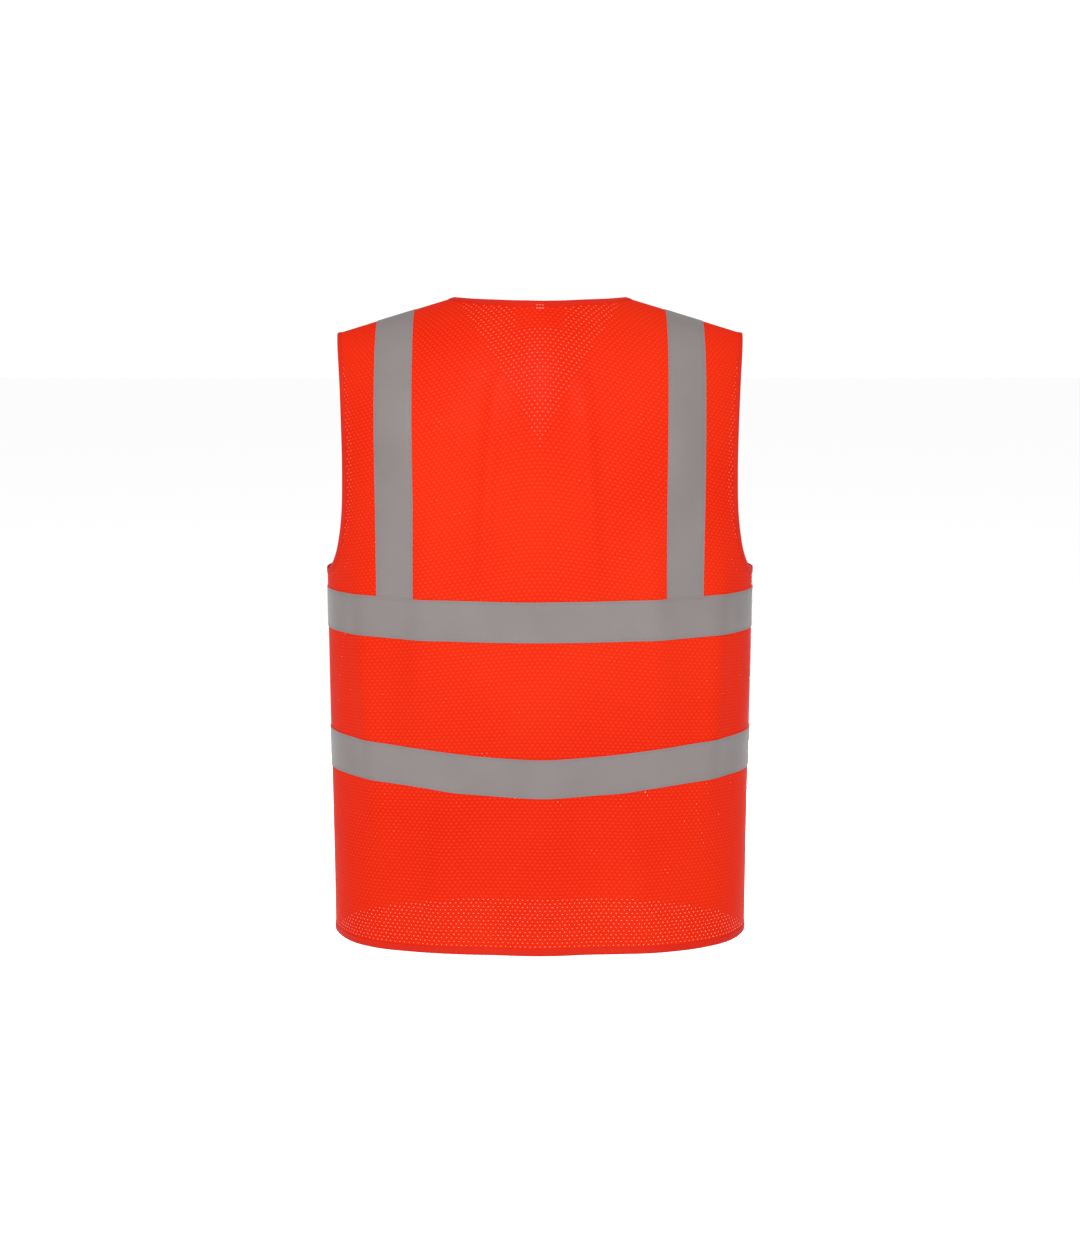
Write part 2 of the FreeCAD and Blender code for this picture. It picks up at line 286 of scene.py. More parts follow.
def outward(p, q, side, which=""):
    """The cloth's outward direction: the cross product of its two flat directions as bent."""
    step = 0.5 * MM
    across = wrap(p + step, q, 0, side, which) - wrap(p - step, q, 0, side, which)
    up = wrap(p, q + step, 0, side, which) - wrap(p, q - step, 0, side, which)
    n = -side * np.cross(across, up)
    return n / np.maximum(np.linalg.norm(n, axis=-1, keepdims=True), 1e-12)


def resample(line, spacing):
    """Points spaced evenly along a line of flat points, as near to the spacing as fits."""
    steps = np.linalg.norm(np.diff(line, axis=0), axis=1)
    along = np.concatenate([[0], np.cumsum(steps)])
    count = max(2, int(round(along[-1] / spacing)) + 1)
    at = np.linspace(0, along[-1], count)
    return np.stack([np.interp(at, along, line[:, k]) for k in range(2)], axis=1)


# %% [markdown]
# ## The outline of each panel
# The outlines are drawn as seen straight on, which is how the design gives them, then flattened.
# The neck is a shallow arc, the armholes are smooth curves, and the fronts have a V-neck that runs
# into a straight closing edge.

# %% Outlines
def between(a, b, start, end, t):
    """On the way from a, at t = start, to b, at t = end."""
    return (end - t) / (end - start) * a + (t - start) / (end - start) * b


def through(points, count=60):
    """A smooth line through a few points: a Catmull-Rom spline, spaced by the root of distance.
    Each stretch mixes straight lines three times over."""
    pts = np.asarray(points, float)
    pts = np.vstack([2 * pts[0] - pts[1], pts, 2 * pts[-1] - pts[-2]])
    knots = np.concatenate([[0], np.cumsum(np.linalg.norm(np.diff(pts, axis=0), axis=1) ** 0.5)])
    found = []
    for k in range(1, len(pts) - 2):
        t = np.linspace(knots[k], knots[k + 1], count, endpoint=k == len(pts) - 3)[:, None]
        lines = [between(*pts[k + m - 1 : k + m + 1], *knots[k + m - 1 : k + m + 1], t) for m in range(3)]
        bends = [between(*lines[m : m + 2], knots[k + m - 1], knots[k + m + 1], t) for m in range(2)]
        found.append(between(*bends, knots[k], knots[k + 1], t))
    return np.vstack(found)


def armhole_line(sign):
    """From the shoulder tip down to the side seam, seen straight on. Heights are shares of the
    tip's height and of the underarm's."""
    tip_z, low = float(ridge(TIP_X)), UNDERARM
    points = [
        (TIP_X, tip_z),
        (NARROW_X + 0.3 * (TIP_X - NARROW_X), tip_z * 0.55 + low * 0.25 - 12 * MM),
        (NARROW_X, tip_z * 0.4 + low * 0.58),
        (NARROW_X + 3 * MM, low * 0.82),
        (NARROW_X + 12 * MM, low * 0.945),
        (CHEST - 4 * MM, low + 0.4 * MM),
        (CHEST + 2 * MM, low),
    ]
    return through([(sign * x, z) for x, z in points])


def neck_line():
    """The back neck, an arc of a parabola between the neck-shoulder points."""
    t = np.sin(np.linspace(-np.pi / 2, np.pi / 2, 181))
    return np.stack([NECK_HALF * t, -NECK_DROP * (1 - t * t)], axis=1)


def front_edge_line(sign):
    """From the neck-shoulder point down the V and straight on to the hem."""
    free = -OVERLAP / 2
    bow = 9 * MM
    mid = ((NECK_HALF + free) / 2 - bow, -V_DEPTH * 0.5 - 0.35 * bow)
    v = through([(NECK_HALF, 0.0), mid, (free, -V_DEPTH)])
    down = np.stack([np.full(120, free), np.linspace(-V_DEPTH, HEM, 121)[1:]], axis=1)
    line = np.vstack([v, down])
    return line * [sign, 1]


def flat_line(line, side):
    return flatten(line[:, 0], line[:, 1], side)


def finish_on_seam(line, at_start):
    """Runs a flattened line exactly onto the shoulder seam, where the last step is steep."""
    line = line.copy()
    line[0 if at_start else -1, 1] = TOP_Q
    return line


def length_of(line):
    return np.linalg.norm(np.diff(line, axis=0), axis=1).sum()


arm = {}
for side in (BACK, FRONT):
    for sign in (1, -1):
        line = finish_on_seam(flat_line(armhole_line(sign), side), True)
        line[-1, 0] = sign * HALF_ROUND
        arm[side, sign] = line
neck = finish_on_seam(finish_on_seam(flat_line(neck_line(), BACK), True), False)
front_edge = {s: finish_on_seam(flat_line(front_edge_line(s), FRONT), True) for s in (1, -1)}
print("armhole %.3f m, neck %.3f m" % (length_of(arm[BACK, 1]), length_of(neck)))

# %% [markdown]
# ## Materials: what they share
# Every fabric here is yarn, so one node group makes a weave from the cloth's own flat coordinates:
# two crossed sine waves, one up and one along, with a little noise so that no two threads match.
# A second group gives slow changes of tone, as dye and light fabric have. Both put out only
# values, and each material decides what they do.

# %% Node helpers
def node(tree, kind, place, **values):
    """A node at a place, with its plain properties or its input values set."""
    made = tree.nodes.new(kind)
    made.location = place
    for key, value in values.items():
        if hasattr(made, key):
            setattr(made, key, value)
        else:
            made.inputs[key.replace("_", " ")].default_value = value
    return made


def math_node(tree, operation, place, a=None, b=None):
    made = node(tree, "ShaderNodeMath", place, operation=operation)
    for socket, value in zip(made.inputs, (a, b)):
        if value is None:
            continue
        if isinstance(value, (int, float)):
            socket.default_value = value
        else:
            tree.links.new(value, socket)
    return made.outputs[0]


def new_group(name, inputs, outputs):
    """A node group with named float inputs and outputs."""
    group = bpy.data.node_groups.new(name, "ShaderNodeTree")
    for label, start in inputs:
        socket = group.interface.new_socket(label, in_out="INPUT", socket_type="NodeSocketFloat")
        socket.default_value = start
    for label in outputs:
        group.interface.new_socket(label, in_out="OUTPUT", socket_type="NodeSocketFloat")
    start, end = node(group, "NodeGroupInput", (-900, 0)), node(group, "NodeGroupOutput", (900, 0))
    return group, start, end


def make_weave():
    """Height and shade of crossed threads: (sin^2 u + sin^2 v) / 2 with fibre noise."""
    inputs = [("Across", 1200.0), ("Along", 900.0), ("Fuzz", 0.3)]
    group, start, end = new_group("weave", inputs, ["Height", "Shade"])
    uv = node(group, "ShaderNodeUVMap", (-900, -300), uv_map="cloth")
    parts = node(group, "ShaderNodeSeparateXYZ", (-700, -300))
    group.links.new(uv.outputs[0], parts.inputs[0])
    waves = []
    for k, label in enumerate(("Across", "Along")):
        turned = math_node(group, "MULTIPLY", (-500, -200 * k), parts.outputs[k], start.outputs[label])
        half_turns = math_node(group, "MULTIPLY", (-400, -200 * k), turned, math.pi)
        wave = math_node(group, "SINE", (-300, -200 * k), half_turns)
        waves.append(math_node(group, "MULTIPLY", (-100, -200 * k), wave, wave))
    crossed = math_node(group, "MULTIPLY", (100, 0), math_node(group, "ADD", (0, 0), *waves), 0.5)
    fibre = node(group, "ShaderNodeTexNoise", (-300, -500), Scale=1800.0, Detail=3.0)
    group.links.new(uv.outputs[0], fibre.inputs["Vector"])
    fuzz = math_node(group, "MULTIPLY", (100, -400), fibre.outputs["Fac"], start.outputs["Fuzz"])
    height = math_node(group, "ADD", (400, 0), crossed, fuzz)
    group.links.new(height, end.inputs["Height"])
    half = math_node(group, "MULTIPLY", (300, -200), crossed, 0.5)
    group.links.new(math_node(group, "ADD", (400, -200), half, fuzz), end.inputs["Shade"])
    return group


def make_tone():
    """A slow change of tone from noise on Object coordinates, centred on 0.5."""
    group, start, end = new_group("tone", [("Size", 9.0), ("Strength", 1.0)], ["Value"])
    place = node(group, "ShaderNodeTexCoord", (-900, -300))
    slow = node(group, "ShaderNodeTexNoise", (-600, -300), Detail=2.0, Roughness=0.45)
    group.links.new(place.outputs["Object"], slow.inputs["Vector"])
    group.links.new(start.outputs["Size"], slow.inputs["Scale"])
    centred = math_node(group, "SUBTRACT", (-300, -300), slow.outputs["Fac"], 0.5)
    scaled = math_node(group, "MULTIPLY", (0, -300), centred, start.outputs["Strength"])
    group.links.new(math_node(group, "ADD", (300, -300), scaled, 0.5), end.inputs["Value"])
    return group


weave, tone = make_weave(), make_tone()


def use_group(tree, group, place, **values):
    made = node(tree, "ShaderNodeGroup", place, node_tree=group)
    for label, value in values.items():
        made.inputs[label].default_value = value
    return made


def mix_colours(tree, place, factor, a, b):
    """A colour between a and b. Either may be a colour or a socket, and the share may be a number."""
    made = node(tree, "ShaderNodeMix", place, data_type="RGBA")
    if isinstance(factor, float):
        made.inputs["Factor"].default_value = factor
    else:
        tree.links.new(factor, made.inputs["Factor"])
    for label, value in (("A", a), ("B", b)):
        socket = [i for i in made.inputs if i.name == label and i.type == "RGBA"][0]
        if isinstance(value, tuple):
            socket.default_value = (*value, 1)
        else:
            tree.links.new(value, socket)
    return [o for o in made.outputs if o.type == "RGBA"][0]


def spread(tree, place, value, low, high):
    """Maps a value from low..high to 0..1, clamped."""
    made = node(tree, "ShaderNodeMapRange", place)
    made.inputs["From Min"].default_value = low
    made.inputs["From Max"].default_value = high
    tree.links.new(value, made.inputs["Value"])
    return made.outputs["Result"]


def fabric_material(
    name, dark, light, across, along, fuzz=0.3, rough=(0.65, 0.85), bump=0.12, tone_size=9.0
):
    """A woven fabric. Returns the material, its tree, its shader and the colour socket in use."""
    material = bpy.data.materials.new(name)
    material.use_nodes = True
    tree = material.node_tree
    shader = tree.nodes["Principled BSDF"]
    threads = use_group(tree, weave, (-900, -200), Across=across, Along=along, Fuzz=fuzz)
    slow = use_group(tree, tone, (-900, 200), Size=tone_size, Strength=1.6)
    both = math_node(tree, "ADD", (-700, 0), threads.outputs["Shade"], slow.outputs["Value"])
    blend = math_node(tree, "MULTIPLY", (-600, 0), both, 0.62)
    colour = mix_colours(tree, (-400, 100), spread(tree, (-500, 0), blend, 0.2, 0.8), dark, light)
    tree.links.new(colour, shader.inputs["Base Color"])
    roughness = node(tree, "ShaderNodeMapRange", (-400, -150))
    roughness.inputs["To Min"].default_value, roughness.inputs["To Max"].default_value = rough
    tree.links.new(threads.outputs["Shade"], roughness.inputs["Value"])
    tree.links.new(roughness.outputs["Result"], shader.inputs["Roughness"])
    relief = node(tree, "ShaderNodeBump", (-300, -400), Strength=0.5)
    relief.inputs["Distance"].default_value = bump * MM
    tree.links.new(threads.outputs["Height"], relief.inputs["Height"])
    tree.links.new(relief.outputs["Normal"], shader.inputs["Normal"])
    shader.inputs["Specular IOR Level"].default_value = 0.2
    return material, tree, shader, colour


# %% [markdown]
# ## The mesh cloth
# Fluorescent polyester glows a little: it turns violet light into orange. A small emission of its
# own colour stands for that, and it is also painted light: a glow without a lamp that makes the
# cloth brighter. The inside is painted lighter and pinker than the outside, with a glow of its own,
# as painted light for what comes through the thin cloth and its holes, and that is what shows
# through each hole. The hole rims, marked in the mesh, are painted a shade lighter too: a painted
# highlight where light catches the rounded yarn.

# %% Cloth, binding and tape
RED_DEEP, RED_BRIGHT = (0.235, 0.005, 0.001), (0.275, 0.014, 0.003)
# Rim colour: a painted highlight on the hole rims. Inside colour: painted light for what comes through
# the thin cloth.
RIM_HIGHLIGHT, INSIDE_PAINTED_LIGHT = (0.32, 0.030, 0.008), (0.42, 0.026, 0.009)
BINDING_DEEP, BINDING_BRIGHT = (0.21, 0.006, 0.002), (0.25, 0.012, 0.003)
# Painted shade for the binding's fold over the edge.
FOLD_SHADE = (0.15, 0.006, 0.004)
# Emission colours: a painted glow of the cloth's own colour, one for the outside and one for the inside.
PAINTED_GLOW, PAINTED_GLOW_INSIDE = (0.85, 0.004, 0.0), (0.70, 0.008, 0.001)
TAPE_DEEP, TAPE_BRIGHT, BEAD = (0.098, 0.084, 0.082), (0.126, 0.109, 0.107), (0.215, 0.195, 0.19)


def mesh_cloth_material():
    material, tree, shader, colour = fabric_material(
        "mesh_cloth", RED_DEEP, RED_BRIGHT, 900.0, 700.0, rough=(0.4, 0.55), bump=0.2, tone_size=5.0
    )
    # Painted highlight: the hole rims, marked in the mesh, are tinted lighter for light caught on the
    # rounded yarn.
    rim = node(tree, "ShaderNodeAttribute", (-700, 500), attribute_name="rim")
    near_hole = math_node(tree, "POWER", (-550, 500), rim.outputs["Fac"], 2.0)
    with_rim = mix_colours(tree, (-250, 300), near_hole, colour, RIM_HIGHLIGHT)
    # Painted light: faces seen from the inside, through the holes, get a lighter, pinker colour and glow,
    # for light that comes through the cloth.
    facing = node(tree, "ShaderNodeNewGeometry", (-450, 700))
    inner = mix_colours(tree, (-150, 200), 0.45, with_rim, INSIDE_PAINTED_LIGHT)
    seen = mix_colours(tree, (-50, 400), facing.outputs["Backfacing"], with_rim, inner)
    tree.links.new(seen, shader.inputs["Base Color"])
    # Painted glow: the cloth emits its own colour even without a lamp.
    glow = mix_colours(tree, (-50, 650), facing.outputs["Backfacing"], PAINTED_GLOW, PAINTED_GLOW_INSIDE)
    tree.links.new(glow, shader.inputs["Emission Color"])
    shader.inputs["Emission Strength"].default_value = 0.43
    shader.inputs["Specular IOR Level"].default_value = 0.02
    return material


def binding_material():
    """Plain-woven tape with painted shade where it folds over the edge: darker there, and without its
    glow.
    """
    material, tree, shader, colour = fabric_material(
        "binding_cloth", BINDING_DEEP, BINDING_BRIGHT, 1500.0, 1500.0, bump=0.1
    )
    # Painted shade: the fold, marked in the mesh, is tinted dark and its glow is taken away.
    fold = node(tree, "ShaderNodeAttribute", (-700, 500), attribute_name="fold")
    dark = math_node(tree, "MULTIPLY", (-500, 500), fold.outputs["Fac"], 0.85)
    tree.links.new(mix_colours(tree, (-250, 300), dark, colour, FOLD_SHADE), shader.inputs["Base Color"])
    glow = mix_colours(tree, (-250, 600), fold.outputs["Fac"], PAINTED_GLOW, (0.0, 0.0, 0.0))
    tree.links.new(glow, shader.inputs["Emission Color"])
    shader.inputs["Emission Strength"].default_value = 0.36
    shader.inputs["Specular IOR Level"].default_value = 0.1
    shader.inputs["Sheen Weight"].default_value = 0.02
    return material


def tape_material():
    """Glass beads on a woven backing: matt grey, with a fine speckle and a faint weave."""
    material, tree, shader, colour = fabric_material(
        "reflective_tape", TAPE_DEEP, TAPE_BRIGHT, 1100.0, 1100.0,
        fuzz=0.5, rough=(0.42, 0.6), bump=0.05, tone_size=14.0,
    )
    uv = node(tree, "ShaderNodeUVMap", (-1100, 600), uv_map="cloth")
    beads = node(tree, "ShaderNodeTexVoronoi", (-900, 600), Scale=2600.0)
    tree.links.new(uv.outputs[0], beads.inputs["Vector"])
    speck = spread(tree, (-700, 600), beads.outputs["Distance"], 0.0, 0.55)
    faint = math_node(tree, "MULTIPLY", (-500, 600), speck, 0.22)
    tree.links.new(mix_colours(tree, (-200, 400), faint, colour, BEAD), shader.inputs["Base Color"])
    shader.inputs["Sheen Weight"].default_value = 0.15
    return material


mesh_cloth = mesh_cloth_material()
binding_cloth = binding_material()
reflective = tape_material()
loop_cloth = fabric_material(
    "loop_pile", (0.55, 0.010, 0.004), (0.85, 0.030, 0.010), 700.0, 700.0, fuzz=0.9, bump=0.3
)[0]
hook_cloth = fabric_material(
    "hook_pile", (0.50, 0.010, 0.004), (0.78, 0.024, 0.008), 1000.0, 1000.0, rough=(0.35, 0.5)
)[0]
label_cloth = fabric_material(
    "label_satin", (0.74, 0.74, 0.72), (0.90, 0.90, 0.88), 2400.0, 1200.0, rough=(0.35, 0.5), bump=0.05
)[0]
red_thread = fabric_material(
    "red_thread", (0.34, 0.010, 0.003), (0.44, 0.024, 0.008), 3000.0, 3000.0, rough=(0.4, 0.55)
)[0]
grey_thread = fabric_material(
    "grey_thread", (0.115, 0.100, 0.097), (0.160, 0.140, 0.135), 3000.0, 3000.0, rough=(0.4, 0.55)
)[0]
pale_thread = fabric_material(
    "pale_thread", (0.85, 0.42, 0.34), (0.98, 0.62, 0.52), 3000.0, 3000.0, rough=(0.4, 0.55)
)[0]
print("materials", len(bpy.data.materials))

# %% [markdown]
# ## How a piece joins the model
# A piece stands for its CAD node, which it hides. The back rides on the root. A front is sewn to
# the back at the shoulder and down the side, so it has to stay still there. Its pieces are joined to
# no body here: they keep their place in the world.

# %% Joining pieces to the root
BODY_OF = {n: body for body, nodes in record["behaviour"]["bodies"].items() for n in nodes}


def join_body(piece, body):
    """Fixes a piece to the root; for any other body it only applies the piece's transform."""
    if body == "root":
        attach(piece, body)
    else:
        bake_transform(piece)


def stand_for(piece, cad_node):
    """Hides the CAD node and hands the piece to join_body with the node's body."""
    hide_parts(cad_node)
    join_body(piece, BODY_OF[cad_node])


# %% [markdown]
# ## The open mesh panels
# The holes are real holes. The cloth is a brick pattern of cells, each row shifted by half a cell,
# and in open cloth every cell has a hexagonal hole ringed by six quads. Where tape or binding
# covers the cloth, the cell has no hole, because nobody would see it. Cells whose middle falls
# outside the outline are left out, and the binding hides the stepped edge.

# %% Cutting and netting
CELL_WIDE, CELL_HIGH = 6.2 * MM, 4.4 * MM
HOLE_WIDE, HOLE_HIGH = 0.30 * MM, 0.27 * MM
CLOTH_OUT, RIM_SUNK = 0.6 * MM, 0.25 * MM
EDGE_CUT, EDGE_PLAIN = 3.5 * MM, 8.5 * MM
TAPE_MARGIN = 1.2 * MM
HEXAGON = np.array([(-0.87, -0.5), (0, -1), (0.87, -0.5), (0.87, 0.5), (0, 1), (-0.87, 0.5)])
BRACE_TOP_X, BRACE_SHIFT, BRACE_LEANS_TO = 180 * MM, 2 * MM, 120 * MM


def distance_to(points, line):
    """Shortest distance from each point to a line of straight steps."""
    nearest = np.full(len(points), np.inf)
    for a, b in zip(line[:-1], line[1:]):
        d = b - a
        t = np.clip(((points - a) @ d) / max(d @ d, 1e-18), 0, 1)
        nearest = np.minimum(nearest, np.linalg.norm(points - a - t[:, None] * d, axis=1))
    return nearest


def within(points, outline):
    """True inside a closed outline: a ray to the right crosses it an odd number of times."""
    inside = np.zeros(len(points), bool)
    for a, b in zip(outline, np.roll(outline, -1, axis=0)):
        spans = (a[1] > points[:, 1]) != (b[1] > points[:, 1])
        if spans.any():
            at = a[0] + (points[:, 1] - a[1]) * (b[0] - a[0]) / (b[1] - a[1] if b[1] != a[1] else 1)
            inside ^= spans & (points[:, 0] < at)
    return inside


def band_drop(x, dip):
    """How far a band sags: the dip in the middle, falling to nothing as a squared cosine."""
    return dip * np.cos(np.pi / 2 * np.clip(np.abs(x) / CHEST, 0, 1)) ** 2


def brace_centre(z):
    """The brace's middle line leans in a little on its way down."""
    brace_low, brace_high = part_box("back_left_brace")
    low_x = (brace_low[0] + brace_high[0]) / 2 - BRACE_SHIFT
    t = (z - UPPER_BAND_TOP) / (BRACE_LEANS_TO - UPPER_BAND_TOP)
    return low_x + (BRACE_TOP_X - low_x) * np.clip(t, 0, 1)


def under_tape(x, z, margin):
    """True where tape covers the cloth by at least the margin."""
    covered = np.zeros(x.shape, bool)
    for top, dip in ((UPPER_BAND_TOP, UPPER_BAND_DIP), (LOWER_BAND_TOP, LOWER_BAND_DIP)):
        below = top - band_drop(x, dip) - z
        covered |= (below > margin) & (below < TAPE_WIDTH - margin)
    centre = flatten(brace_centre(z), z, BACK)[..., 0]
    beside = np.abs(flatten(np.abs(x), z, BACK)[..., 0] - centre)
    return covered | ((z > UPPER_BAND_TOP) & (beside < TAPE_WIDTH / 2 - margin))


def net(name, side, which, outline, bound):
    """A panel of open mesh inside an outline; bound are the lines that a binding covers."""
    low_p, high_p = outline[:, 0].min(), outline[:, 0].max()
    columns = int(round((high_p - low_p) / CELL_WIDE))
    rows = int(round(TOP_Q / CELL_HIGH))
    wide, high = (high_p - low_p) / columns, TOP_Q / rows
    corner_p = low_p + np.arange(2 * columns + 1) * wide / 2
    corner_q = np.arange(rows + 1) * high
    across = 2 * columns + 1

    j, k = np.meshgrid(np.arange(rows), np.arange(-1, 2 * columns, 2), indexing="ij")
    k = k + (1 - j % 2)
    whole = (k >= 0) & (k + 2 <= 2 * columns)
    first = np.clip(k, 0, 2 * columns)
    last = np.clip(k + 2, 0, 2 * columns)
    middle_p = (corner_p[first] + corner_p[last]) / 2
    middle_q = (corner_q[j] + corner_q[j + 1]) / 2
    flat = np.stack([middle_p, middle_q], axis=-1).reshape(-1, 2)
    gap = np.min([distance_to(flat, line) for line in bound], axis=0)
    kept = within(flat, outline) & (gap > EDGE_CUT) & (first < last).ravel()
    seen = wrap(flat[:, 0], flat[:, 1], 0, side)
    hidden = under_tape(seen[:, 0], seen[:, 2], TAPE_MARGIN) | (gap < EDGE_PLAIN)
    near_seam = (HALF_ROUND - np.abs(flat[:, 0]) < wide * 0.75) | (TOP_Q - flat[:, 1] < high)
    holed = kept & ~hidden & whole.ravel() & ~near_seam
    plain = kept & ~holed

    def ring(which_cells):
        jj, a, b = j.ravel()[which_cells], first.ravel()[which_cells], last.ravel()[which_cells]
        m = np.where(b - a == 2, a + 1, -1)
        low, up = jj * across, (jj + 1) * across
        return np.stack([low + a, low + m, low + b, up + b, up + m, up + a], axis=1), m >= 0

    holed_ring = ring(holed)[0]
    plain_ring, has_middle = ring(plain)
    lattice = np.stack(np.meshgrid(corner_p, corner_q), axis=-1).reshape(-1, 2)
    rim = flat[holed][:, None] + HEXAGON * [HOLE_WIDE, HOLE_HIGH]
    inner = len(lattice) + np.arange(holed.sum() * 6).reshape(-1, 6)
    after_ring, after_inner = np.roll(holed_ring, -1, axis=1), np.roll(inner, -1, axis=1)
    quads = [
        np.stack([holed_ring[:, a], after_ring[:, a], after_inner[:, a], inner[:, a]], axis=1)
        for a in range(6)
    ]
    six, four = plain_ring[has_middle], plain_ring[~has_middle][:, [0, 2, 3, 5]]
    parts = [np.vstack(quads), six, four]
    flat_all = np.vstack([lattice, rim.reshape(-1, 2)])
    out = np.full(len(flat_all), CLOTH_OUT)
    out[len(lattice) :] -= RIM_SUNK
    used, parts = compact(parts, len(flat_all))
    flat_all, out = flat_all[used], out[used]
    if side == BACK:
        parts = [part[:, ::-1] for part in parts]
    points = wrap(flat_all[:, 0], flat_all[:, 1], out, side, which)
    piece = put_mesh(name, points, parts, flat_all, mesh_cloth)
    marks = piece.data.attributes.new("rim", "FLOAT", "POINT")
    marks.data.foreach_set("value", (np.flatnonzero(used) >= len(lattice)).astype(np.float32))
    holes = int(holed.sum())
    print(name, "holes", holes, "triangles", holes * 12 + len(six) * 4 + len(four) * 2)
    return piece


def compact(parts, count):
    """Renumbers faces so that only points in use are left."""
    used = np.zeros(count, bool)
    for part in parts:
        used[part.ravel()] = True
    number = np.cumsum(used) - 1
    return used, [number[part] for part in parts]


hem_back = np.array([[-HALF_ROUND, 0.0], [HALF_ROUND, 0.0]])
back_outline = np.vstack([hem_back, arm[BACK, 1][::-1], neck[::-1], arm[BACK, -1]])
back_bound = [neck, arm[BACK, 1], arm[BACK, -1], hem_back]
back_cloth = net("back_panel_cloth", BACK, "", back_outline, back_bound)
stand_for(back_cloth, "back_panel")

outlines = {"back": back_outline}
for sign, hand in HANDS:
    hem_front = np.array([[front_edge[sign][-1, 0], 0.0], [sign * HALF_ROUND, 0.0]])
    outline = np.vstack([hem_front, arm[FRONT, sign][::-1], front_edge[sign]])
    outlines[hand] = outline
    bound = [front_edge[sign], arm[FRONT, sign], hem_front]
    cloth = net(hand + "_front_panel_cloth", FRONT, hand, outline, bound)
    stand_for(cloth, hand + "_front_panel")


# %% [markdown]
# ## Reflective tape
# The tape is one flat strip, so it is a thin slab: a grid on the outside, one on the inside, and a
# rim between them. The braces are sewn first and the bands go over their ends. A row of stitches
# pulls each edge down a little, and the tape stands up a trace between the stitches.

# %% Tape
def slab(name, p, q, low, high, side, which, material):
    """A closed thin slab over a grid of flat points, from out = low to out = high."""
    rows, columns = p.shape
    high = np.broadcast_to(high, p.shape)
    low = np.broadcast_to(low, p.shape)
    layers = [wrap(p, q, out, side, which).reshape(-1, 3) for out in (high, low)]
    n = rows * columns
    top = grid_faces(rows, columns)
    edge = np.concatenate(
        [
            np.arange(columns),
            np.arange(1, rows) * columns + columns - 1,
            n - 2 - np.arange(columns - 1),
            np.arange(rows - 2, 0, -1) * columns,
        ]
    )
    after = np.roll(edge, -1)
    rim = np.stack([edge, edge + n, after + n, after], axis=1)
    flat = np.stack([p, q], axis=-1).reshape(-1, 2)
    quads = [top, top[:, ::-1] + n, rim]
    piece = put_mesh(name, np.concatenate(layers), quads, np.concatenate([flat, flat]), material)
    return face_outwards(piece)


def face_outwards(piece):
    """Turns the faces of a closed piece outwards and keeps its thin edges crisp."""
    work = bmesh.new()
    work.from_mesh(piece.data)
    bmesh.ops.recalc_face_normals(work, faces=work.faces)
    work.to_mesh(piece.data)
    work.free()
    piece.data.set_sharp_from_angle(angle=math.radians(50))
    return piece


TAPE_OUT, TAPE_THICK = 0.75 * MM, 0.32 * MM
OVER_BRACE = TAPE_THICK + 0.03 * MM
STITCH_IN, STITCH_DIP = 2.6 * MM, 0.16 * MM
UNDER_BAND = 8 * MM
BRACE_AT, BAND_AT = 190 * MM, 250 * MM


def pucker(along, across):
    """Stands up between the stitch rows and dips at them, with a slow ripple along the tape."""
    to_edge = np.minimum(across, TAPE_WIDTH - across)
    dip = -STITCH_DIP * np.exp(-(((to_edge - STITCH_IN) / (1.3 * MM)) ** 2))
    wave = np.sin(along / (6.1 * MM) + np.sin(along / (23 * MM)))
    return dip + 0.10 * MM * wave * np.exp(-to_edge / (9 * MM))


def across_steps():
    """Rows across a tape, close together by the stitches."""
    edge = np.array([0, 0.8, 1.8, 2.6, 3.4, 4.6, 7.5]) * MM
    middle = np.linspace(12 * MM, TAPE_WIDTH - 12 * MM, 5)
    return np.concatenate([edge, middle, TAPE_WIDTH - edge[::-1]])


def band_line(p, drop_by, top, dip, side):
    """Flat points a given distance below a band's top edge."""
    x = wrap(p, BAND_AT, 0, side)[..., 0]
    return flatten(x, top - band_drop(x, dip) - drop_by, side)


def make_band(cad_node, side, which, p_from, p_to, top, dip):
    """A band between two places across, as a slab that follows its sagging top edge."""
    p = np.linspace(p_from, p_to, int(abs(p_to - p_from) / (4 * MM)))
    w = across_steps()
    grid = np.stack([band_line(p, drop_by, top, dip, side) for drop_by in w])
    grid[..., 0] = p
    shape = pucker(p[None, :], w[:, None])
    low = TAPE_OUT + OVER_BRACE
    high = low + TAPE_THICK + shape
    return slab(cad_node + "_tape", grid[..., 0], grid[..., 1], low, high, side, which, reflective)


def brace_line(q, side):
    """How far across the middle of a brace lies, at each flat height q."""
    z = wrap(BRACE_AT, q, 0, side)[:, 2]
    x = brace_centre(z)
    return flatten(x, np.minimum(z, ridge(x) - 1e-5), side)[:, 0]


def make_brace(cad_node, side, which, sign):
    """A brace from the shoulder seam to a little way under the upper band."""
    foot_z = np.array([UPPER_BAND_TOP - UNDER_BAND])
    q = np.linspace(TOP_Q, flatten(brace_centre(foot_z), foot_z, side)[0, 1], 100)
    w = across_steps()
    p = sign * (brace_line(q, side)[None, :] + (w[:, None] - TAPE_WIDTH / 2))
    high = TAPE_OUT + TAPE_THICK + pucker(q[None, :], w[:, None])
    q = np.broadcast_to(q, p.shape)
    return slab(cad_node + "_tape", p, q, TAPE_OUT, high, side, which, reflective)


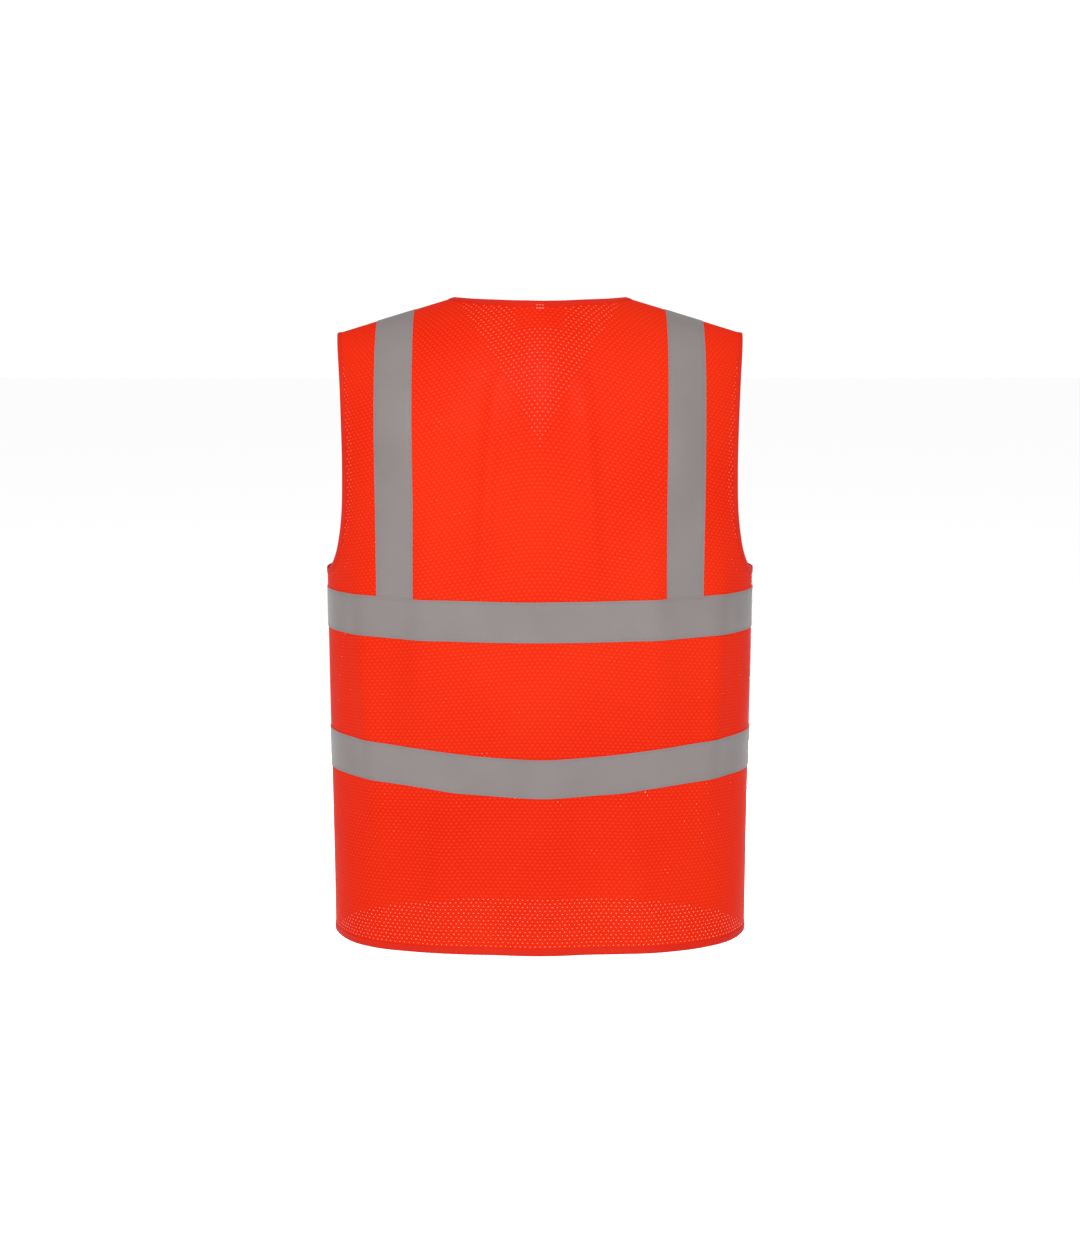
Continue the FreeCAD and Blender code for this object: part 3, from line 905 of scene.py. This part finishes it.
free_p = abs(front_edge[1][-1, 0])
bands = (("upper", UPPER_BAND_TOP, UPPER_BAND_DIP), ("lower", LOWER_BAND_TOP, LOWER_BAND_DIP))
for level, top, dip in bands:
    cad_node = "back_%s_band" % level
    stand_for(make_band(cad_node, BACK, "", -HALF_ROUND, HALF_ROUND, top, dip), cad_node)
    for sign, hand in HANDS:
        cad_node = "%s_front_%s_band" % (hand, level)
        ends = sign * (-free_p + BINDING_WIDTH * 0.6), sign * HALF_ROUND
        stand_for(make_band(cad_node, FRONT, hand, *ends, top, dip), cad_node)
for sign, hand in HANDS:
    stand_for(make_brace("back_%s_brace" % hand, BACK, "", sign), "back_%s_brace" % hand)
    stand_for(make_brace(hand + "_front_brace", FRONT, hand, sign), hand + "_front_brace")
print("tapes done")


# %% [markdown]
# ## Binding
# A binding is a strip folded round the raw edge and stitched through. Its section is a flat loop:
# a rounded fold just outside the edge, and two leaves that lie on the outside and the inside of
# the cloth. That loop is carried along the flat outline, and the bending function does the rest.

# %% Binding
FOLD = np.array(
    [
        (8.0, 1.02), (7.7, 1.20), (6.2, 1.06), (4.2, 1.30), (1.6, 1.38), (0.3, 1.22), (-0.35, 0.86),
        (-0.35, 0.34), (0.3, -0.02), (1.6, -0.18), (4.2, -0.10), (6.2, 0.14), (7.7, 0.0), (8.0, 0.18),
    ]
) * MM


OUTER_LEAF, INNER_LEAF, LEAF_STITCH_IN = 1.06 * MM, 0.14 * MM, 6.2 * MM


def inward_of(line, outline):
    """Unit directions across a line, pointing into the outline."""
    step = np.gradient(line, axis=0)
    across = np.stack([-step[:, 1], step[:, 0]], axis=1)
    across /= np.linalg.norm(across, axis=1, keepdims=True)
    k = len(line) // 2
    probe = line[k : k + 1] + across[k] * 4 * MM
    return across if within(probe, outline)[0] else -across


def bind(cad_node, line, outline, side, which):
    """Carries the folded section along a flat line."""
    line = resample(line, 4 * MM)
    inward = inward_of(line, outline)
    flat = line[:, None] + inward[:, None] * FOLD[None, :, :1]
    flat[..., 0] = np.clip(flat[..., 0], -HALF_ROUND, HALF_ROUND)
    flat[..., 1] = np.clip(flat[..., 1], 0.0 if "hem" not in cad_node else -1.0, TOP_Q)
    out = np.broadcast_to(FOLD[None, :, 1], flat.shape[:2])
    points = wrap(flat[..., 0], flat[..., 1], out, side, which).reshape(-1, 3)
    rows, columns = flat.shape[:2]
    walls = grid_faces(rows, columns, close_columns=True)
    caps = np.array([np.arange(columns), (rows - 1) * columns + np.arange(columns)[::-1]])
    flat = flat.reshape(-1, 2)
    piece = put_mesh(cad_node + "_tape", points, [walls, caps], flat, binding_cloth)
    # Marks the fold over the edge, where the binding gets painted shade.
    marks = piece.data.attributes.new("fold", "FLOAT", "POINT")
    marks.data.foreach_set("value", np.tile(FOLD[:, 0] < 0, rows).astype(np.float32))
    stand_for(face_outwards(piece), cad_node)
    return line, inward


seams_to_sew = []


def bind_and_note(cad_node, line, outline, side, which):
    line, inward = bind(cad_node, line, outline, side, which)
    stitched = line + inward * LEAF_STITCH_IN
    for out in (OUTER_LEAF, INNER_LEAF):
        seams_to_sew.append((BODY_OF[cad_node], stitched, side, which, out, "red"))


bind_and_note("back_neck_binding", neck, back_outline, BACK, "")
bind_and_note("back_hem_binding", hem_back, back_outline, BACK, "")
for sign, hand in HANDS:
    bind_and_note("back_%s_armhole_binding" % hand, arm[BACK, sign], back_outline, BACK, "")
    name, outline = hand + "_front_", outlines[hand]
    bind_and_note(name + "armhole_binding", arm[FRONT, sign], outline, FRONT, hand)
    bind_and_note(name + "edge_binding", front_edge[sign], outline, FRONT, hand)
    hem_from = front_edge[sign][-1, 0] + sign * BINDING_WIDTH * 0.9
    hem_front = np.array([[hem_from, 0.0], [sign * HALF_ROUND, 0.0]])
    bind_and_note(name + "hem_binding", hem_front, outline, FRONT, hand)
print("bindings done")


# %% [markdown]
# ## Thread
# A machine stitch shows as a short raised dash whose ends dive into the cloth. Each one here is a
# small spindle of twelve faces round a straight line between two points on the surface. The tape
# stitches of one body are one piece of thread, and so are its binding stitches.

# %% Thread
STITCH, GAP, THREAD = 3.0 * MM, 0.5 * MM, 0.24 * MM
TIP_SUNK, HEART_OUT = 0.15 * MM, 0.04 * MM
SEAM_END, BRACE_FOOT_AT = 2 * MM, 176 * MM


def spindles(line, side, which, out):
    """Points (n, 10, 3) of every stitch along a flat line: two tips and two rings of four."""
    ends = resample(line, STITCH + GAP)
    a, b = ends[:-1], ends[1:]
    step = b - a
    length = np.linalg.norm(step, axis=1, keepdims=True)
    a, b = a + step / length * GAP / 2, b - step / length * GAP / 2
    away = -1 if out < CLOTH_OUT else 1
    tip_a, tip_b = (wrap(*tip.T, out - away * TIP_SUNK, side, which) for tip in (a, b))
    middle = (a + b) / 2
    up = outward(*middle.T, side, which) * away
    along = tip_b - tip_a
    beside = np.cross(along, up)
    beside /= np.maximum(np.linalg.norm(beside, axis=1, keepdims=True), 1e-12)
    found = [tip_a]
    for share in (0.25, 0.75):
        at = a + (b - a) * share
        heart = wrap(*at.T, out + away * HEART_OUT, side, which)
        for k in range(4):
            turn = np.pi / 4 + k * np.pi / 2
            found.append(heart + THREAD * (np.cos(turn) * beside + np.sin(turn) * up))
    found.append(tip_b)
    return np.stack(found, axis=1)


def sew(name, body, stitches, material):
    """One piece of thread from all its stitches."""
    points = np.concatenate(stitches)
    n = len(points)
    k = np.arange(4)
    k2 = (k + 1) % 4
    near, far = np.stack([0 * k, 1 + k2, 1 + k], axis=1), np.stack([0 * k + 9, 5 + k, 5 + k2], axis=1)
    tips = np.concatenate([near, far])
    sides = np.stack([1 + k, 1 + k2, 5 + k2, 5 + k], axis=1)
    shift = (np.arange(n) * 10)[:, None, None]
    uv = np.tile(np.linspace(0, STITCH, 10), n)
    faces = [(tips + shift).reshape(-1, 3), (sides + shift).reshape(-1, 4)]
    piece = put_mesh(name, points.reshape(-1, 3), faces, np.stack([uv, uv], axis=1), material)
    join_body(face_outwards(piece), body)
    print(name, "stitches", n)
    return piece


edges = (STITCH_IN, TAPE_WIDTH - STITCH_IN)
on_brace = TAPE_OUT + TAPE_THICK - STITCH_DIP
on_band = on_brace + OVER_BRACE
for level, top, dip in bands:
    for edge in edges:
        p = np.linspace(-HALF_ROUND + SEAM_END, HALF_ROUND - SEAM_END, 200)
        line = band_line(p, edge, top, dip, BACK)
        line[:, 0] = p
        seams_to_sew.append(("root", line, BACK, "", on_band, "grey"))
        for sign, hand in HANDS:
            p = np.linspace(-free_p + BINDING_WIDTH, HALF_ROUND - SEAM_END, 120) * sign
            line = band_line(p, edge, top, dip, FRONT)
            line[:, 0] = p
            seams_to_sew.append((hand + "_front", line, FRONT, hand, on_band, "grey"))
for side in (BACK, FRONT):
    foot = flatten(np.array([BRACE_FOOT_AT]), np.array([UPPER_BAND_TOP + 1 * MM]), side)[0, 1]
    q = np.linspace(TOP_Q - 3 * MM, foot, 120)
    for sign, hand in HANDS:
        body, which = ("root", "") if side == BACK else (hand + "_front", hand)
        for edge in edges:
            p = sign * (brace_line(q, side) + edge - TAPE_WIDTH / 2)
            seams_to_sew.append((body, np.stack([p, q], axis=1), side, which, on_brace, "grey"))

thread_of = {"grey": ("_tape_thread", grey_thread), "red": ("_binding_thread", red_thread)}
for body in ("root", "left_front", "right_front"):
    for colour, (ending, material) in thread_of.items():
        wanted = [seam[1:5] for seam in seams_to_sew if (seam[0], seam[5]) == (body, colour)]
        rows = [spindles(*seam) for seam in wanted]
        sew({"root": "back"}.get(body, body) + ending, body, rows, material)

# %% [markdown]
# ## Touch fastening
# Each patch is a woven slab with rounded corners and a pile on one face. The loops are whole little
# arches that lie in all directions. The hooks are arches too, but shorter, in straight rows and cut
# open, so each ends in the air. One function makes both, as a round section along part of a circle.

# %% Patches
PATCH_CORNER, PATCH_STITCH_IN = 3 * MM, 2.2 * MM
PILE_IN, PILE_END = 2 * MM, 1.9 * MM


def rounded_grid(centre, half_wide, half_high, rows=25, columns=13):
    """Flat points that fill a rectangle with round corners: each row is as wide as the corner's
    circle allows."""
    v = np.sin(np.linspace(-np.pi / 2, np.pi / 2, rows)) * half_high
    past = np.clip((np.abs(v) - (half_high - PATCH_CORNER)) / PATCH_CORNER, 0, 1)
    wide = half_wide - PATCH_CORNER * (1 - np.sqrt(1 - 0.98 * past**2))
    u = np.linspace(-1, 1, columns)
    p = centre[0] + u[None, :] * wide[:, None]
    return p, np.broadcast_to((centre[1] + v)[:, None], p.shape)


def pile(name, centre, half_wide, half_high, which, kind):
    """Little arches on a patch: a four-sided section carried along an arc of a circle."""
    rng = np.random.default_rng(len(name))
    pitch, size, sweep = kind["pitch"], kind["size"], kind["sweep"]
    p, q = np.meshgrid(
        *(np.arange(PILE_IN - half, half - PILE_END, pitch) for half in (half_wide, half_high))
    )
    n = p.size
    jitter = rng.uniform(-1, 1, (3, n)) * (1.0 if kind is LOOPS else 0.15)
    p = centre[0] + p.ravel() + jitter[0] * pitch * 0.25
    q = centre[1] + q.ravel() + jitter[1] * pitch * 0.25
    heading = jitter[2] * np.pi
    lean = np.linspace(0, np.pi * sweep, 5)
    yarn = size * 0.16
    places = []
    for angle in lean:
        for k in range(4):
            turn = np.pi / 4 + k * np.pi / 2
            reach = size / 2 * -np.cos(angle) + yarn * np.cos(turn) * -np.cos(angle)
            rise = size * np.sin(angle) + yarn * np.cos(turn) * np.sin(angle)
            sideways = yarn * np.sin(turn)
            dp = reach * np.cos(heading) - sideways * np.sin(heading)
            dq = reach * np.sin(heading) + sideways * np.cos(heading)
            out = kind["face"] + kind["away"] * rise
            places.append(wrap(p + dp, q + dq, out, FRONT, which))
    points = np.stack(places, axis=1).reshape(-1, 3)
    tube = grid_faces(5, 4, close_columns=True)
    ends = np.array([[3, 2, 1, 0], [16, 17, 18, 19]])
    shift = (np.arange(n) * 20)[:, None, None]
    faces = (np.concatenate([tube, ends])[None] + shift).reshape(-1, 4)
    uv = np.repeat(np.stack([p, q], axis=1), 20, axis=0)
    return face_outwards(put_mesh(name, points, [faces], uv, kind["material"]))


def ring_of(centre, half_wide, half_high, inset):
    """A closed flat rectangle inside a patch's edge, for its stitches."""
    w, h = half_wide - inset, half_high - inset
    corners = np.array([(-w, -h), (w, -h), (w, h), (-w, h), (-w, -h)])
    return np.asarray(centre) + corners


HOOKS = {
    "base": (-0.65 * MM, 0.25 * MM), "sewn_at": 0.9 * MM, "face": -0.6 * MM, "away": -1,
    "pitch": 1.15 * MM, "size": 0.42 * MM, "sweep": 0.72, "material": hook_cloth,
}
LOOPS = {
    "base": (0.95 * MM, 1.75 * MM), "sewn_at": 1.85 * MM, "face": 1.7 * MM, "away": 1,
    "pitch": 1.35 * MM, "size": 0.7 * MM, "sweep": 1.0, "material": loop_cloth,
}


def make_patch(cad_node, which, kind):
    """A patch on a front: its base, its pile, and a rectangle of stitches inside its edge."""
    low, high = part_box(cad_node)
    middle = flatten((low[0] + high[0]) / 2, (low[2] + high[2]) / 2, FRONT)
    half_wide, half_high = (high[0] - low[0]) / 2, (high[2] - low[2]) / 2
    p, q = rounded_grid(middle, half_wide, half_high)
    base = slab(cad_node + "_base", p, q, *kind["base"], FRONT, which, kind["material"])
    stand_for(base, cad_node)
    made = pile(cad_node + "_pile", middle, half_wide, half_high, which, kind)
    join_body(made, BODY_OF[cad_node])
    square = ring_of(middle, half_wide, half_high, PATCH_STITCH_IN)
    rows = [spindles(square[k : k + 2], FRONT, which, kind["sewn_at"]) for k in range(4)]
    sew(cad_node + "_thread", BODY_OF[cad_node], rows, red_thread)


for place in ("top", "middle", "bottom"):
    make_patch(place + "_hook_patch", "left", HOOKS)
    make_patch(place + "_loop_patch", "right", LOOPS)


# %% [markdown]
# ## Labels and seams
# The labels are blank satin tape sewn inside. At the back of the neck the tack stitches go right
# through, so two short pale marks show on the outside. Inside each side and shoulder seam lies a
# flat allowance, which closes the seam so that no light comes through between the panels.

# %% Labels
LABEL_FACES, LABEL_THREAD, LABEL_TACK_IN = (-0.62 * MM, -0.36 * MM), -0.55 * MM, 2 * MM
TACK_BELOW, TACK_HALF, TACK_APART, TACK_OUT = 11 * MM, 5 * MM, 4.8 * MM, 1.0 * MM


def make_label(cad_node):
    """A blank label inside the back, slightly curled away from the cloth at its foot."""
    low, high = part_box(cad_node)
    corner = flatten(np.array([low[0], high[0]]), np.array([low[2], high[2]]), BACK)
    u, v = np.meshgrid(np.linspace(0, 1, 21), np.linspace(0, 1, 21))
    p = corner[0, 0] + (corner[1, 0] - corner[0, 0]) * u
    q = corner[0, 1] + (corner[1, 1] - corner[0, 1]) * v
    curl = 0.12 * MM * (1 - v) ** 2 + 0.05 * MM * np.cos(4 * np.pi * u)
    inner, outer = (face - curl for face in LABEL_FACES)
    label = slab(cad_node + "_satin", p, q, inner, outer, BACK, "", label_cloth)
    stand_for(label, cad_node)
    tack_q = q.max() - LABEL_TACK_IN
    tack = np.array([[p.min() + LABEL_TACK_IN, tack_q], [p.max() - LABEL_TACK_IN, tack_q]])
    sew(cad_node + "_thread", "root", [spindles(tack, BACK, "", LABEL_THREAD)], pale_thread)


make_label("neck_label")
make_label("care_label")

tack_q = flatten(0.0, -TACK_BELOW, BACK)[1]
tacks = [
    np.array([[-TACK_HALF, tack_q + up], [TACK_HALF, tack_q + up]])
    for up in (-TACK_APART / 2, TACK_APART / 2)
]
rows = [spindles(line, BACK, "", TACK_OUT) for line in tacks]
sew("neck_label_tacks", "root", rows, pale_thread)


# %% Seam allowances
ALLOWANCE, ALLOWANCE_FACES, SHORT_BY = 9 * MM, (-0.32 * MM, 0.22 * MM), 2 * MM


def allowance(name, body, along, across, side, which):
    """A flat strip inside a seam; along are flat points on the seam, across points inwards."""
    line = resample(along, 5 * MM)
    steps = np.linspace(0, 1, 5)[None, :, None]
    grid = line[:, None] + steps * np.array(across)[None, None, :]
    p, q = grid[..., 0], grid[..., 1]
    piece = slab(name, p, q, *ALLOWANCE_FACES, side, which, binding_cloth)
    join_body(piece, body)
    return piece


for sign, hand in HANDS:
    for side, label, which, body in (
        (BACK, "back", "", "root"),
        (FRONT, "front", hand, hand + "_front"),
    ):
        name = "%s_%s" % (hand, label)
        hole = arm[side, sign]
        p = sign * HALF_ROUND
        seam = np.array([[p, BINDING_WIDTH], [p, hole[-1, 1] - SHORT_BY]])
        allowance(name + "_side_seam", body, seam, (-sign * ALLOWANCE, 0), side, which)
        at_neck = neck[-1, 0] if sign > 0 else neck[0, 0]
        short = sign * SHORT_BY
        seam = np.array([[at_neck + short, TOP_Q], [hole[0, 0] - short, TOP_Q]])
        allowance(name + "_shoulder_seam", body, seam, (0, -ALLOWANCE), side, which)
print("labels and seams done")


# %% [markdown]


# %% [markdown]
# ## Studio
# The vest hangs over a plain, nearly white floor under an even white sky. A soft key lamp stands
# above the camera, and a weaker one low on the far side lights the fronts. The camera stands a
# little over three vest lengths away, at the height of the collar, and looks slightly down.

# %% Floor, light and camera
FLOOR_DROP, FLOOR_HALF, FLOOR_GLOW = 0.40, 30.0, 0.7
CAMERA_AWAY, CAMERA_TILT, LENS = 2.665, math.radians(8.67), 61.42
SKY_LIGHT, SKY_SEEN = 0.30, 1.05


def plain_material(name, colour, glow):
    material = bpy.data.materials.new(name)
    material.use_nodes = True
    shader = material.node_tree.nodes["Principled BSDF"]
    shader.inputs["Base Color"].default_value = (*colour, 1)
    shader.inputs["Roughness"].default_value = 0.9
    shader.inputs["Emission Color"].default_value = (1, 1, 1, 1)
    shader.inputs["Emission Strength"].default_value = glow
    return material


floor_at = HEM - FLOOR_DROP
corner = np.array([(-1, -1), (1, -1), (1, 1), (-1, 1)]) * FLOOR_HALF
floor_points = np.column_stack([corner, np.full(4, floor_at)])
pale = plain_material("pale_floor", (0.9, 0.9, 0.9), FLOOR_GLOW)
floor = put_mesh("floor", floor_points, [np.array([[0, 1, 2, 3]])], None, pale)


def lamp(name, place, aim, size, power):
    light = bpy.data.lights.new(name, "AREA")
    light.shape = "DISK"
    light.size, light.energy = size, power
    holder = bpy.data.objects.new(name, light)
    bpy.context.scene.collection.objects.link(holder)
    holder.location = place
    holder.rotation_euler = (Vector(aim) - Vector(place)).to_track_quat("-Z", "Y").to_euler()


heart = (0, 0, HEM / 2)
lamp("key", (0.15, 2.8, 1.7), heart, 0.8, 178)
lamp("far_side", (-0.7, -3.1, -0.65), heart, 1.0, 80)

world = bpy.data.worlds.new("sky")
bpy.context.scene.world = world
world.use_nodes = True
sky = world.node_tree
sky.nodes.clear()
path = node(sky, "ShaderNodeLightPath", (-400, 200))
dim = node(sky, "ShaderNodeBackground", (-200, 0), Color=(1, 1, 1, 1), Strength=SKY_LIGHT)
bright = node(sky, "ShaderNodeBackground", (-200, -200), Color=(1, 1, 1, 1), Strength=SKY_SEEN)
either = node(sky, "ShaderNodeMixShader", (0, 0))
last = node(sky, "ShaderNodeOutputWorld", (200, 0))
sky.links.new(path.outputs["Is Camera Ray"], either.inputs[0])
sky.links.new(dim.outputs[0], either.inputs[1])
sky.links.new(bright.outputs[0], either.inputs[2])
sky.links.new(either.outputs[0], last.inputs["Surface"])

bpy.context.scene.view_settings.view_transform = "Standard"
eye = bpy.data.cameras.new("camera")
eye.sensor_fit, eye.sensor_width, eye.lens = "AUTO", 36, LENS
camera = bpy.data.objects.new("camera", eye)
bpy.context.scene.collection.objects.link(camera)
camera.location = (0, CAMERA_AWAY, 0)
camera.rotation_euler = (math.pi / 2 - CAMERA_TILT, 0, math.pi)
bpy.context.scene.camera = camera
